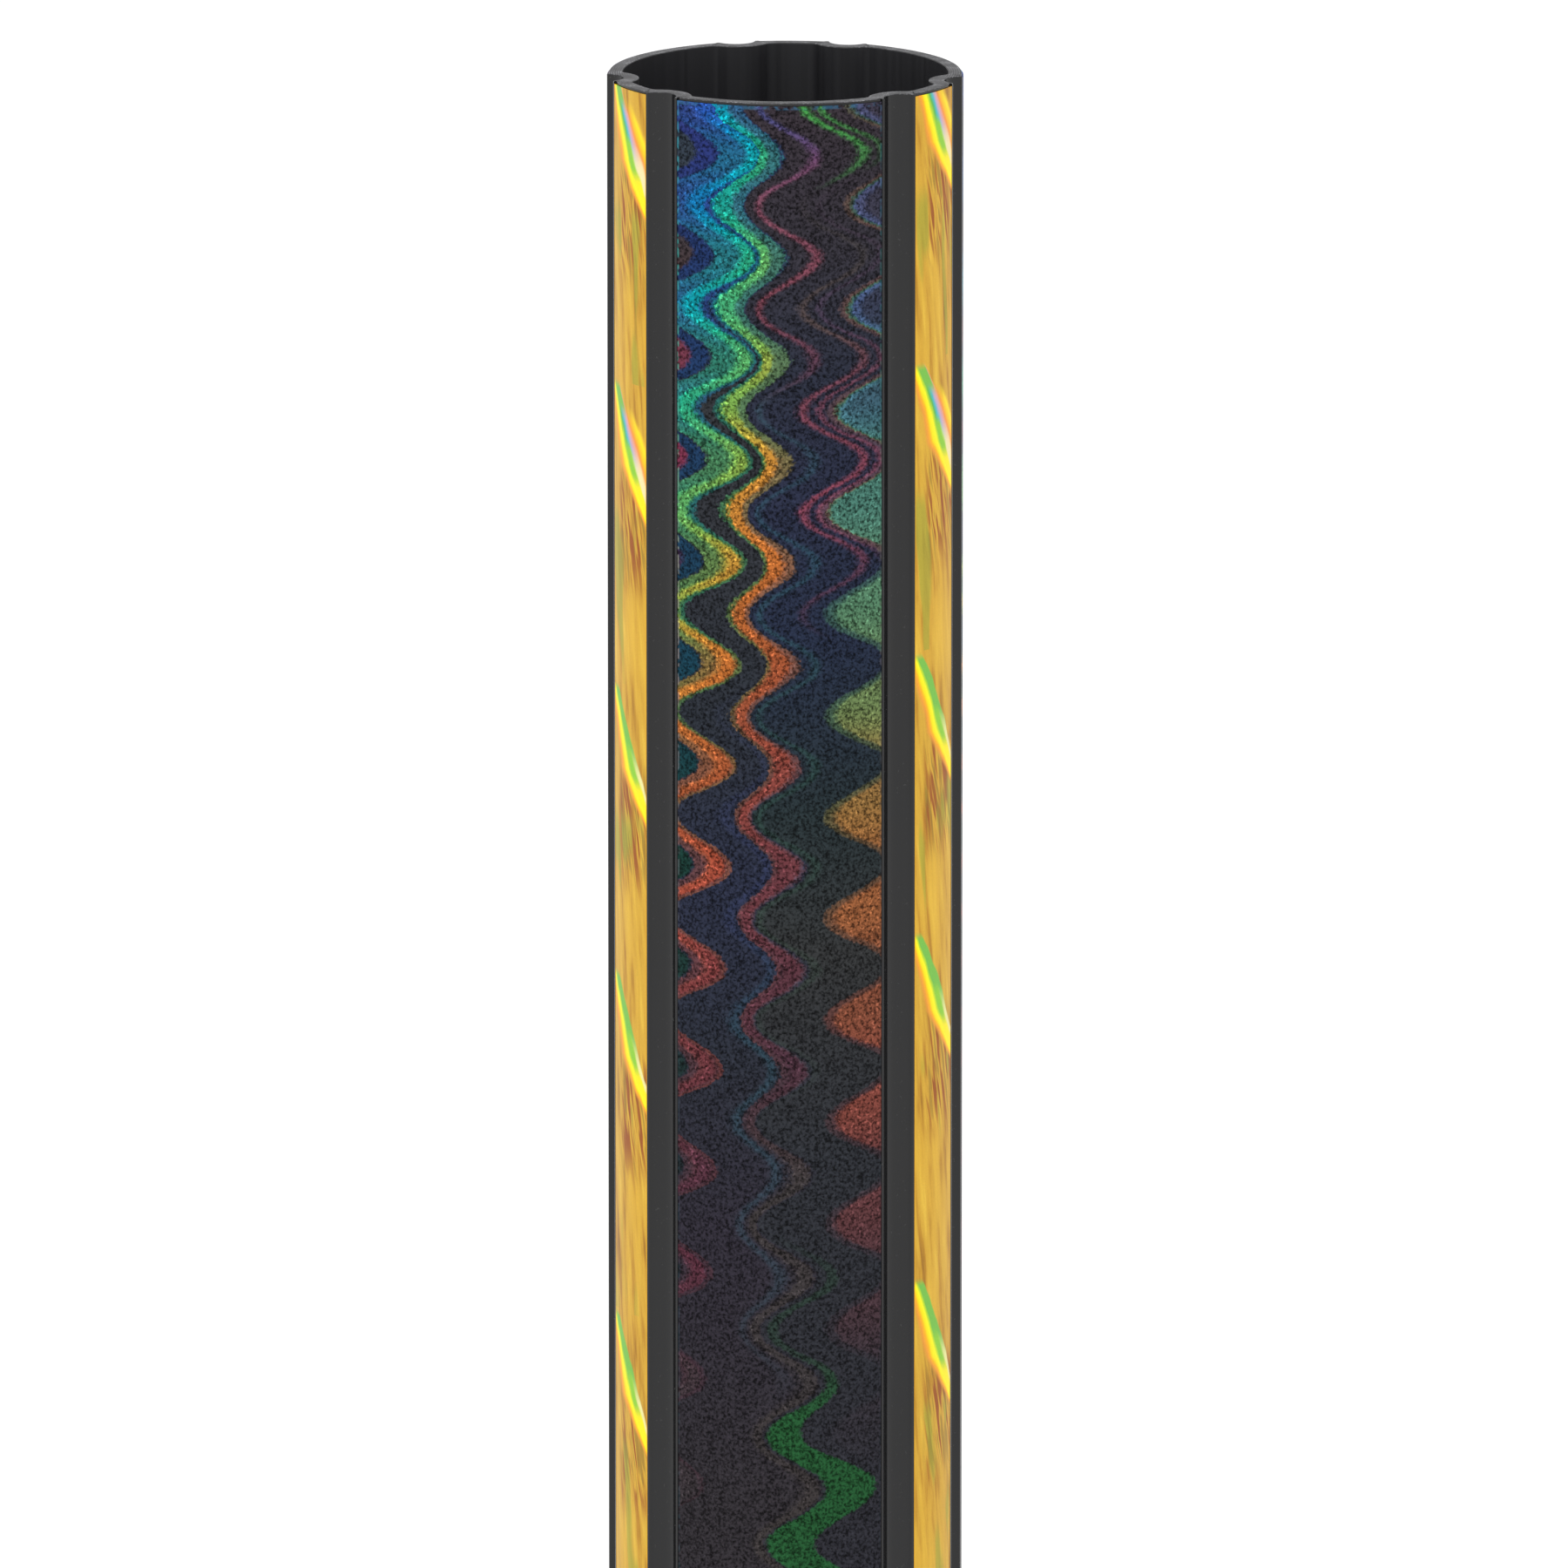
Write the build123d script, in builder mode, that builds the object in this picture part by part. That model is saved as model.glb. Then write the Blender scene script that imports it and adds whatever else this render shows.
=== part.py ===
from build123d import *
import os
from math import cos, radians, sin, sqrt

# Hand-held kaleidoscope. An extruded tube with six flutes carries three wide and three
# narrow foil strips on its lobes. Inside, three mirrors form a triangular light channel
# between a recessed eyepiece and a turning object cell. The tube's axis is Z, the cell
# stands on z = 0, the eyepiece is at the top, and the front panel faces -Y.

# ---------------------------------------------------------------- driving sizes, mm and degrees
overall_height = 254.0
tube_radius = 25.0
tube_wall = 2.2
wide_film_angle = 70.0
narrow_film_angle = 22.4
film_thickness = 0.22
mirror_width = 29.6
mirror_thickness = 2.0
grip_radius = 29.4
eye_hole_radius = 5.0
eye_recess = 12.0
cell_depth = 11.0

# ---------------------------------------------------------------- heights along the tube
ring_top = 31.8
flange_bottom = 32.6
tube_bottom = 35.0
spigot_top = 47.0
plate_top = overall_height - eye_recess
plate_bottom = plate_top - 9.0
mirror_bottom = 20.7
mirror_top = plate_bottom - 1.0
lock_ring_bottom = 1.6
diffuser_bottom = 3.1
chamber_bottom = 5.1
chamber_top = chamber_bottom + cell_depth
window_top = chamber_top + 1.8
land_bottom = 21.4
journal_bottom = 18.9

# ---------------------------------------------------------------- radii in the turning cell
journal_radius = 24.0
running_gap = 0.06
cell_bore = 26.5
disc_radius = 26.42
chamber_radius = 24.4
clip_recess = 25.7
collar_bore = 18.9

# ---------------------------------------------------------------- the tube's fluted section
panel_angles = (-90, 30, 150)
narrow_angles = (-150, -30, 90)
flute_radius = 2.7
flute_depth = 2.0
flute_centre = tube_radius - flute_depth + flute_radius
flute_gap = (120 - wide_film_angle - narrow_film_angle) / 2
flute_angle = wide_film_angle / 2 + flute_gap / 2
pocket_depth = 0.3
film_seat = 0.04
lip_radius = 0.25
bore_corner_radius = 1.0
key_gap = 0.12
mirror_centre = mirror_width / (2 * sqrt(3)) + mirror_thickness / 2
wrap_thickness = 0.35


def fluted_outline(inset, corner):
    """The tube's outer outline moved inwards by inset, with its corners rounded."""
    with BuildSketch() as outline:
        Circle(tube_radius - inset)
        for side in (-flute_angle, flute_angle):
            with PolarLocations(flute_centre, 3, start_angle=panel_angles[0] + side):
                Circle(flute_radius + inset, mode=Mode.SUBTRACT)
        fillet(outline.vertices(), corner)
    return outline.sketch


def arc_strip(inner, outer, middle, width):
    """An arc-shaped strip between two radii, width degrees wide about the angle middle."""
    start = middle - width / 2
    finish = middle + width / 2
    with BuildSketch() as outline:
        with BuildLine():
            CenterArc((0, 0), inner, start, width)
            CenterArc((0, 0), outer, start, width)
            for edge in (start, finish):
                PolarLine((inner * cos(radians(edge)), inner * sin(radians(edge))), outer - inner, edge)
        make_face()
    return outline.sketch


def ring_outline(outer, inner):
    """A flat ring."""
    with BuildSketch() as outline:
        Circle(outer)
        Circle(inner, mode=Mode.SUBTRACT)
    return outline.sketch


def mirror_bundle_outline(gap):
    """The six-sided outline round the three mirrors, moved outwards by gap."""
    with BuildSketch() as plates:
        with PolarLocations(mirror_centre, 3, start_angle=panel_angles[0]):
            Rectangle(mirror_thickness, mirror_width)
    with BuildSketch() as outline:
        make_hull(plates.sketch.edges())
        if gap:
            offset(amount=gap, kind=Kind.ARC)
    return outline.sketch


def export(part, label):
    """Names a finished piece and writes its file."""
    part.label = label
    export_step(part, f"parts/{label}.step")


os.makedirs("parts", exist_ok=True)

tube_outside = fluted_outline(0, lip_radius)
tube_inside = fluted_outline(tube_wall, bore_corner_radius)
keyed_inside = fluted_outline(tube_wall + key_gap, bore_corner_radius)
wrap_gap = 0.1
bundle = mirror_bundle_outline(wrap_gap)
wrapped_bundle = mirror_bundle_outline(wrap_gap + wrap_thickness)
cradle_hole = mirror_bundle_outline(wrap_gap + wrap_thickness + 0.05)

# ---------------------------------------------------------------- body_tube, a pocket for each strip
strips = {
    "wave_film_front": (panel_angles[0], wide_film_angle),
    "wave_film_rear_right": (panel_angles[1], wide_film_angle),
    "wave_film_rear_left": (panel_angles[2], wide_film_angle),
    "gold_film_left": (narrow_angles[0], narrow_film_angle),
    "gold_film_right": (narrow_angles[1], narrow_film_angle),
    "gold_film_rear": (narrow_angles[2], narrow_film_angle),
}
pocket_floor = tube_radius - pocket_depth
with BuildPart() as body_tube:
    with BuildSketch(Plane.XY.offset(tube_bottom)):
        add(tube_outside)
        add(tube_inside, mode=Mode.SUBTRACT)
        for middle, width in strips.values():
            add(arc_strip(pocket_floor, tube_radius + 1, middle, width), mode=Mode.SUBTRACT)
    extrude(amount=overall_height - tube_bottom)
export(body_tube.part, "body_tube")

# ---------------------------------------------------------------- the six foil strips
film_inner = pocket_floor + film_seat
film_margin = 0.4
film_bottom = tube_bottom + film_margin
film_length = overall_height - film_margin - film_bottom
side_clearance = 0.3
for label, (middle, width) in strips.items():
    with BuildPart() as film:
        with BuildSketch(Plane.XY.offset(film_bottom)):
            add(arc_strip(film_inner, film_inner + film_thickness, middle, width - side_clearance))
        extrude(amount=film_length)
    export(film.part, label)

# ---------------------------------------------------------------- mirrors, their wrap and cradles
mirror_labels = ("mirror_base", "mirror_right", "mirror_left")
mirror_corner_gap = 0.1
for label, middle in zip(mirror_labels, panel_angles):
    with BuildPart() as mirror:
        with BuildSketch(Plane.XY.offset(mirror_bottom)):
            with PolarLocations(mirror_centre, 1, start_angle=middle):
                Rectangle(mirror_thickness, mirror_width - mirror_corner_gap)
        extrude(amount=mirror_top - mirror_bottom)
    export(mirror.part, label)

wrap_bottom = spigot_top + 2.0
wrap_top = mirror_top - 3.0
with BuildPart() as mirror_wrap:
    with BuildSketch(Plane.XY.offset(wrap_bottom)):
        add(wrapped_bundle)
        add(bundle, mode=Mode.SUBTRACT)
    extrude(amount=wrap_top - wrap_bottom)
export(mirror_wrap.part, "mirror_wrap")

cradle_length = 12.0
cradle_span = wrap_top - wrap_bottom - cradle_length
cradles = {"cradle_lower": 0.04, "cradle_middle": 0.5, "cradle_upper": 0.96}
for label, share in cradles.items():
    with BuildPart() as cradle:
        with BuildSketch(Plane.XY.offset(wrap_bottom + share * cradle_span)):
            add(keyed_inside)
            add(cradle_hole, mode=Mode.SUBTRACT)
        extrude(amount=cradle_length)
    export(cradle.part, label)

# ---------------------------------------------------------------- eyepiece
lens_radius = 13.8
lens_rim = 0.8
lens_focus = 200.0
acrylic_index = 1.49
lens_curve = (acrylic_index - 1) * lens_focus
lens_crown = lens_curve - sqrt(lens_curve**2 - lens_radius**2)
lens_bottom = plate_bottom + 1.2
dish_radius = 17.0
dish_depth = 4.6
pocket_radius = 14.0
pocket_top = lens_bottom + lens_rim + lens_crown + 0.3
dish_edge_radius = 0.8
hole_edge_radius = 0.6
with BuildPart() as eyepiece_plate:
    with BuildSketch(Plane.XY.offset(plate_bottom)):
        add(keyed_inside)
    extrude(amount=plate_top - plate_bottom)
    with BuildSketch(Plane.XZ):
        with BuildLine():
            Polyline(
                (0, plate_top + 1),
                (dish_radius, plate_top + 1),
                (dish_radius, plate_top),
                (eye_hole_radius, plate_top - dish_depth),
                (eye_hole_radius, pocket_top),
                (pocket_radius, pocket_top),
                (pocket_radius, plate_bottom - 1),
                (0, plate_bottom - 1),
                close=True,
            )
        make_face()
    revolve(axis=Axis.Z, mode=Mode.SUBTRACT)
    circles = eyepiece_plate.edges().filter_by(GeomType.CIRCLE)
    dish_edge = circles.filter_by(lambda edge: abs(edge.radius - dish_radius) < 0.01)
    hole_edges = circles.filter_by(lambda edge: abs(edge.radius - eye_hole_radius) < 0.01)
    fillet(dish_edge, dish_edge_radius)
    fillet(hole_edges.sort_by(Axis.Z)[-1], hole_edge_radius)
export(eyepiece_plate.part, "eyepiece_plate")

with BuildPart() as eye_lens:
    with BuildSketch(Plane.XZ):
        with BuildLine():
            rim_edge = (lens_radius, lens_bottom + lens_rim)
            Polyline((0, lens_bottom), (lens_radius, lens_bottom), rim_edge)
            thickness = Line((0, lens_bottom), (0, lens_bottom + lens_rim + lens_crown))
            TangentArc(thickness @ 1, rim_edge, tangent=(1, 0))
        make_face()
    revolve(axis=Axis.Z)
export(eye_lens.part, "eye_lens")

with BuildPart() as lens_retainer:
    with BuildSketch(Plane.XY.offset(plate_bottom + 0.05)):
        add(ring_outline(pocket_radius - 0.05, pocket_radius - 3.2))
    extrude(amount=lens_bottom - plate_bottom - 0.1)
export(lens_retainer.part, "lens_retainer")

gasket_outer = 20.0
gasket_inner = 15.6
with BuildPart() as mirror_gasket:
    with BuildSketch(Plane.XY.offset(mirror_top + 0.05)):
        add(ring_outline(gasket_outer, gasket_inner))
    extrude(amount=plate_bottom - mirror_top - 0.1)
export(mirror_gasket.part, "mirror_gasket")

# ---------------------------------------------------------------- end collar: spigot, flange, journal
flange_radius = 27.0
clip_groove_radius = 22.7
clip_bottom = 19.9
clip_thickness = 1.2
glass_pocket = 21.0
glass_top = mirror_bottom - 0.1
with BuildPart() as end_collar:
    with BuildSketch(Plane.XY.offset(tube_bottom)):
        add(keyed_inside)
    extrude(amount=spigot_top - tube_bottom)
    chamfer(end_collar.faces().sort_by(Axis.Z)[-1].edges(), 0.6)
    with BuildSketch(Plane.XZ):
        with BuildLine():
            Polyline(
                (0, journal_bottom),
                (journal_radius - 0.5, journal_bottom),
                (journal_radius, journal_bottom + 0.5),
                (journal_radius, clip_bottom - 0.05),
                (clip_groove_radius, clip_bottom - 0.05),
                (clip_groove_radius, clip_bottom + clip_thickness + 0.05),
                (journal_radius, clip_bottom + clip_thickness + 0.05),
                (journal_radius, flange_bottom),
                (flange_radius, flange_bottom),
                (flange_radius, tube_bottom - 0.8),
                (flange_radius - 0.8, tube_bottom),
                (0, tube_bottom),
                close=True,
            )
        make_face()
    revolve(axis=Axis.Z)
    with BuildSketch(Plane.XY.offset(journal_bottom)):
        Circle(collar_bore)
    extrude(amount=spigot_top - journal_bottom, mode=Mode.SUBTRACT)
    with BuildSketch(Plane.XY.offset(journal_bottom)):
        Circle(glass_pocket)
    extrude(amount=glass_top - journal_bottom + 0.05, mode=Mode.SUBTRACT)
export(end_collar.part, "end_collar")

with BuildPart() as mirror_end_glass:
    with BuildSketch(Plane.XY.offset(journal_bottom + 0.2)):
        Circle(glass_pocket - 0.05)
    extrude(amount=glass_top - journal_bottom - 0.2)
    chamfer(mirror_end_glass.edges(), 0.15)
export(mirror_end_glass.part, "mirror_end_glass")

clip_gap_angle = 50.0
clip_outer = 25.2
with BuildPart() as cell_clip:
    with BuildSketch(Plane.XY.offset(clip_bottom)):
        add(arc_strip(clip_groove_radius + 0.05, clip_outer, -90, 360 - clip_gap_angle))
    extrude(amount=clip_thickness)
    fillet(cell_clip.edges().filter_by(Axis.Z), 0.8)
export(cell_clip.part, "cell_clip")

with BuildPart() as friction_washer:
    with BuildSketch(Plane.XY.offset(ring_top + 0.1)):
        add(ring_outline(flange_radius - 0.6, journal_radius + 0.1))
    extrude(amount=flange_bottom - ring_top - 0.12)
export(friction_washer.part, "friction_washer")

# ---------------------------------------------------------------- turning ring and its grip band
shell_radius = 29.0
band_floor = 28.0
band_bottom = 5.0
band_top = 27.0
lock_groove = 27.3
lock_ring_top = diffuser_bottom - 0.05
with BuildPart() as turning_ring:
    with BuildSketch(Plane.XZ):
        with BuildLine():
            Polyline(
                (cell_bore, 0),
                (shell_radius - 0.8, 0),
                (shell_radius, 0.8),
                (shell_radius, band_bottom),
                (band_floor, band_bottom),
                (band_floor, band_top),
                (shell_radius, band_top),
                (shell_radius, ring_top - 2.0),
                (shell_radius - 2.0, ring_top),
                (journal_radius + running_gap, ring_top),
                (journal_radius + running_gap, land_bottom),
                (clip_recess, land_bottom),
                (clip_recess, window_top + 0.1),
                (cell_bore, window_top + 0.1),
                (cell_bore, lock_ring_top + 0.05),
                (lock_groove, lock_ring_top + 0.05),
                (lock_groove, lock_ring_bottom - 0.05),
                (cell_bore, lock_ring_bottom - 0.05),
                close=True,
            )
        make_face()
    revolve(axis=Axis.Z)
export(turning_ring.part, "turning_ring")

rib_count = 48
rib_radius = 1.0
with BuildPart() as grip_band:
    with BuildSketch(Plane.XY.offset(band_bottom + 0.05)):
        Circle(grip_radius - 0.6)
        with PolarLocations(grip_radius - rib_radius, rib_count):
            Circle(rib_radius)
        Circle(band_floor + 0.02, mode=Mode.SUBTRACT)
    extrude(amount=band_top - band_bottom - 0.1)
export(grip_band.part, "grip_band")

# ---------------------------------------------------------------- object cell
cell_discs = {
    "cell_window": (chamber_top + 0.05, window_top - chamber_top - 0.05),
    "cell_diffuser": (diffuser_bottom + 0.02, chamber_bottom - diffuser_bottom - 0.02),
}
for label, (bottom, thickness) in cell_discs.items():
    with BuildPart() as disc:
        with BuildSketch(Plane.XY.offset(bottom)):
            Circle(disc_radius)
        extrude(amount=thickness)
        chamfer(disc.edges(), 0.2)
    export(disc.part, label)

with BuildPart() as cell_spacer:
    with BuildSketch(Plane.XY.offset(chamber_bottom + 0.02)):
        add(ring_outline(disc_radius, chamber_radius))
    extrude(amount=cell_depth)
    chamfer(cell_spacer.edges(), 0.25)
export(cell_spacer.part, "cell_spacer")

lock_inner = 24.6
notch_angle = 8.0
with BuildPart() as cell_lock_ring:
    with BuildSketch(Plane.XY.offset(lock_ring_bottom)):
        add(arc_strip(lock_inner, lock_groove - 0.05, 90, 360 - notch_angle))
    extrude(amount=lock_ring_top - lock_ring_bottom)
    fillet(cell_lock_ring.edges().filter_by(Axis.Z), 0.5)
export(cell_lock_ring.part, "cell_lock_ring")

# ---------------------------------------------------------------- loose pieces on the diffuser
piece_count = 32
golden_angle = 137.508
spiral_pitch = 3.72
floor_gap = 0.05
piece_floor = chamber_bottom + floor_gap
kinds = ("tumbling_beads", "tumbling_chips", "tumbling_rods", "tumbling_rings")


def spiral_place(index, height):
    """The point at which loose piece number index is centred, height above the diffuser's gap."""
    distance = spiral_pitch * sqrt(index + 0.5)
    turn = radians(index * golden_angle)
    return distance * cos(turn), distance * sin(turn), height


smallest_bead = 1.5
bead_step = 0.25
with BuildPart() as tumbling_beads:
    for index in range(0, piece_count, 4):
        bead_radius = smallest_bead + bead_step * (index // 4 % 4)
        with Locations(spiral_place(index, piece_floor + bead_radius)):
            Sphere(bead_radius)
export(tumbling_beads.part, "tumbling_beads")

chip_thickness = 1.3
chip_radius = 2.7
with BuildPart() as tumbling_chips:
    for index in range(1, piece_count, 4):
        with BuildSketch(Plane.XY.offset(piece_floor)):
            with Locations(Location(spiral_place(index, 0), index * golden_angle)):
                RegularPolygon(chip_radius, 3 + index // 4 % 4)
        extrude(amount=chip_thickness)
    chamfer(tumbling_chips.faces().filter_by(Axis.Z).edges(), 0.25)
export(tumbling_chips.part, "tumbling_chips")

rod_radius = 0.9
rod_length = 5.4
with BuildPart() as tumbling_rods:
    for index in range(2, piece_count, 4):
        middle = spiral_place(index, piece_floor + rod_radius)
        with Locations(Location(middle, (0, 90, index * golden_angle + 90))):
            Cylinder(rod_radius, rod_length)
    fillet(tumbling_rods.edges().filter_by(GeomType.CIRCLE), rod_radius * 0.6)
export(tumbling_rods.part, "tumbling_rods")

loop_radius = 1.9
loop_wire = 0.65
with BuildPart() as tumbling_rings:
    for index in range(3, piece_count, 4):
        with Locations(spiral_place(index, piece_floor + loop_wire)):
            Torus(loop_radius, loop_wire)
export(tumbling_rings.part, "tumbling_rings")
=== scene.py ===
"""Looks of a hand-held kaleidoscope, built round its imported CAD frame.

The kaleidoscope stands on its turning cell with the eyepiece up, and its front foil panel faces -Y.
The piece builders and the materials work in millimetres of the object's own frame.
"""

import math

import bmesh
import bpy
from mathutils import Matrix, Vector


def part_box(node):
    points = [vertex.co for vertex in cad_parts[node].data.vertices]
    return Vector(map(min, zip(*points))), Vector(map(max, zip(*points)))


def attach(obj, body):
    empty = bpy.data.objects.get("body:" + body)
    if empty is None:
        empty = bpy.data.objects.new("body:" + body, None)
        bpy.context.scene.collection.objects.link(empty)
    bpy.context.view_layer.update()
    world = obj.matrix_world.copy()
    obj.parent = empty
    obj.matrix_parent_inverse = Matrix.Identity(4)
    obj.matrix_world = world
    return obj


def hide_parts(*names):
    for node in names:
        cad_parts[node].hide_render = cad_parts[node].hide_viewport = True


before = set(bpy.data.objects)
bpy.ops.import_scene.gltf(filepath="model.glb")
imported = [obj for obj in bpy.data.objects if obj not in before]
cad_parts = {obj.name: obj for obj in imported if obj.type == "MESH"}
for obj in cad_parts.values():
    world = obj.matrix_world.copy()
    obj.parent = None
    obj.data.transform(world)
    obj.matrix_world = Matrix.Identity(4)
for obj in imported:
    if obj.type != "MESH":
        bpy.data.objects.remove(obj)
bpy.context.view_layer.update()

MM = 0.001


def heights(node):
    """The lowest and highest point of a CAD node, in millimetres."""
    low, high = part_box(node)
    return low.z / MM, high.z / MM


# ---------------------------------------------------------------- camera
CAMERA_LENS = 600
CAMERA_SENSOR = 36
CAMERA_DISTANCE = 3.68
CAMERA_AZIMUTH = math.radians(2.25)
CAMERA_PITCH = math.radians(11.9)
AIM_SIDEWAYS = -0.00018
AIM_BELOW_RIM = 0.1019

camera_aim = Vector((AIM_SIDEWAYS, 0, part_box("body_tube")[1].z - AIM_BELOW_RIM))
camera = bpy.data.objects.new("camera", bpy.data.cameras.new("camera"))
bpy.context.scene.collection.objects.link(camera)
camera.data.lens = CAMERA_LENS
camera.data.sensor_width = CAMERA_SENSOR
camera_side = Vector((
    math.sin(CAMERA_AZIMUTH) * math.cos(CAMERA_PITCH),
    -math.cos(CAMERA_AZIMUTH) * math.cos(CAMERA_PITCH),
    math.sin(CAMERA_PITCH),
))
camera.location = camera_aim + camera_side * CAMERA_DISTANCE
camera.rotation_euler = (-camera_side).to_track_quat("-Z", "Y").to_euler()
bpy.context.scene.camera = camera
bpy.context.scene.view_settings.view_transform = "Standard"


# ---------------------------------------------------------------- node graphs
def linear(code):
    """The linear colour of a six-digit sRGB code."""
    parts = [int(code[i : i + 2], 16) / 255 for i in (0, 2, 4)]
    return [p / 12.92 if p <= 0.04045 else ((p + 0.055) / 1.055) ** 2.4 for p in parts] + [1.0]


class Field:
    """A number that varies over a surface. Arithmetic on it adds the nodes that work it out."""

    def __init__(self, graph, socket):
        self.graph = graph
        self.socket = socket

    def __add__(self, other):
        return self.graph.math("ADD", self, other)

    def __sub__(self, other):
        return self.graph.math("SUBTRACT", self, other)

    def __rsub__(self, other):
        return self.graph.math("SUBTRACT", other, self)

    def __mul__(self, other):
        return self.graph.math("MULTIPLY", self, other)

    def __truediv__(self, other):
        return self.graph.math("DIVIDE", self, other)


class Graph:
    """The nodes of one material. Its x, y and z are the object's own frame in millimetres."""

    def __init__(self, name):
        self.material = bpy.data.materials.new(name)
        self.material.use_nodes = True
        self.nodes = self.material.node_tree.nodes
        self.links = self.material.node_tree.links
        self.shader = self.nodes["Principled BSDF"]
        frame_place = Field(self, self.nodes.new("ShaderNodeTexCoord").outputs["Object"])
        self.place = self.scaled(frame_place, (1 / MM, 1 / MM, 1 / MM))
        split = self.node("ShaderNodeSeparateXYZ", {0: self.place})
        self.x, self.y, self.z = (Field(self, output) for output in split.outputs)

    def feed(self, socket, value):
        if isinstance(value, Field):
            self.links.new(value.socket, socket)
        elif isinstance(value, str):
            socket.default_value = linear(value)
        else:
            socket.default_value = value

    def node(self, kind, inputs, **settings):
        """Adds a node with its settings, and feeds its inputs by name or number."""
        node = self.nodes.new(kind)
        for key, value in settings.items():
            setattr(node, key, value)
        for key, value in inputs.items():
            self.feed(node.inputs[key], value)
        return node

    def math(self, operation, *values):
        node = self.node("ShaderNodeMath", dict(enumerate(values)), operation=operation)
        return Field(self, node.outputs[0])

    def scaled(self, vector, factors):
        node = self.node("ShaderNodeVectorMath", {0: vector, 1: factors}, operation="MULTIPLY")
        return Field(self, node.outputs[0])

    def rise(self, value, low, high):
        """Goes smoothly from 0 at low to 1 at high."""
        inputs = {"Value": value, "From Min": low, "From Max": high}
        node = self.node("ShaderNodeMapRange", inputs, interpolation_type="SMOOTHSTEP")
        return Field(self, node.outputs[0])

    def window(self, value, start, full, fade, end):
        """Is 1 from full to fade, and falls smoothly to 0 at start and at end."""
        return self.rise(value, start, full) * self.rise(value, end, fade)

    def bell(self, value, width):
        """1 where value is 0, falling to nothing over about width on each side."""
        share = value / width
        return self.math("EXPONENT", share * share * -1)

    def blend(self, factor, first, second):
        """A number that goes from first to second."""
        node = self.node("ShaderNodeMix", {0: factor, 2: first, 3: second}, data_type="FLOAT")
        return Field(self, node.outputs[0])

    def mix(self, factor, first, second, how="MIX"):
        """A colour that goes from first to second."""
        inputs = {0: factor, 6: first, 7: second}
        node = self.node("ShaderNodeMix", inputs, data_type="RGBA", blend_type=how)
        return Field(self, node.outputs[2])

    def ramp(self, factor, stops, how="LINEAR"):
        """The colour at factor, from stops of place and colour code."""
        node = self.node("ShaderNodeValToRGB", {0: factor})
        elements = node.color_ramp.elements
        node.color_ramp.interpolation = how
        while len(elements) < len(stops):
            elements.new(1.0)
        for element, (place, code) in zip(elements, stops):
            element.position = place
            element.color = linear(code)
        return Field(self, node.outputs[0])

    def ramp_over(self, value, stops, low, high):
        """The colour at value, from stops whose places lie between low and high."""
        span = high - low
        return self.ramp((value - low) / span, [((place - low) / span, code) for place, code in stops])

    def shade(self, colour, value):
        """A colour made brighter or darker by a number."""
        grey = self.node("ShaderNodeCombineColor", {0: value, 1: value, 2: value})
        return self.mix(1.0, colour, Field(self, grey.outputs[0]), "MULTIPLY")

    def noise(self, size, detail=2.0, roughness=0.5, vector=None):
        """Noise from 0 to 1 with features of size, one number or one for each axis."""
        sizes = (size, size, size) if isinstance(size, (int, float)) else size
        vector = self.scaled(vector or self.place, [1 / s for s in sizes])
        inputs = {"Vector": vector, "Scale": 1.0, "Detail": detail, "Roughness": roughness}
        return Field(self, self.node("ShaderNodeTexNoise", inputs).outputs[0])

    def bump(self, height, depth, strength=1.0):
        """Makes height, from 0 to 1, a relief of depth millimetres."""
        inputs = {"Strength": strength, "Distance": depth * MM, "Height": height}
        self.surface(Normal=Field(self, self.node("ShaderNodeBump", inputs).outputs[0]))

    def surface(self, **values):
        """Sets the shader's inputs, with _ for a space in their names."""
        for key, value in values.items():
            self.feed(self.shader.inputs[key.replace("_", " ")], value)


def across_strip(graph, middle):
    """The distance across a foil strip from its middle line, which is at an angle round the tube."""
    turn = math.radians(middle)
    return graph.y * math.cos(turn) - graph.x * math.sin(turn)


# ---------------------------------------------------------------- wave foil
# The pattern has its own heights, which count up to PATTERN_TOP at the rim.
PATTERN_TOP = 246.0
PATTERN_BOTTOM = 35.0
WAVE_PITCH = 14.5
WAVE_CREST = 238.6
# Below STRETCH_START the waves grow longer.
STRETCH_START = 110.0
STRETCH = 0.0006
# Each ribbon edge: where it is at EDGE_LEVEL, and how far it drifts for each millimetre below.
EDGE_LEVEL = 166.0
GAP_LEFT = (-9.3, -0.0465)
GAP_RIGHT = (-4.3, 0.030)
RIDGE_RIGHT = (-0.5, 0.0215)
CORE_EDGE = (-15.3, -0.033)
# The ribbons' hues. The place of a hue is how far it lies below HUES_START, as a share of HUES_SPAN.
HUES_START = 276.0
HUES_SPAN = 240.0
SPECTRUM = (
    (0.0, "2a3c84"),
    (0.05, "204a96"),
    (0.10, "0a6494"),
    (0.158, "04828c"),
    (0.219, "1b8a6a"),
    (0.279, "469256"),
    (0.338, "688f3e"),
    (0.375, "8c8430"),
    (0.41, "a4722a"),
    (0.458, "a86028"),
    (0.517, "8e4a27"),
    (0.579, "8e402c"),
    (0.638, "6c3230"),
    (0.70, "5a2c30"),
    (0.765, "482833"),
    (0.827, "4e2430"),
    (0.889, "3a2c30"),
    (1.0, "2c2a2c"),
)
HEART = (
    (60, "262a26"), (105, "1e2822"), (140, "16382a"), (165, "12303c"), (183, "33203a"), (196, "66283c"),
    (210, "5c2c3a"), (223, "362c2e"), (238, "28303a"),
)
CORE = (
    (90, "1a2024"), (140, "12302a"), (165, "123442"), (200, "182e4c"), (225, "1b2c54"), (240, "222c60"),
)
LEFT_BASE = (
    (45, "2a272b"), (85, "28252e"), (110, "23262f"), (135, "232738"), (158, "24282f"), (185, "27292e"),
    (205, "27292c"), (222, "1c2c46"), (240, "1a2c50"),
)
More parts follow.
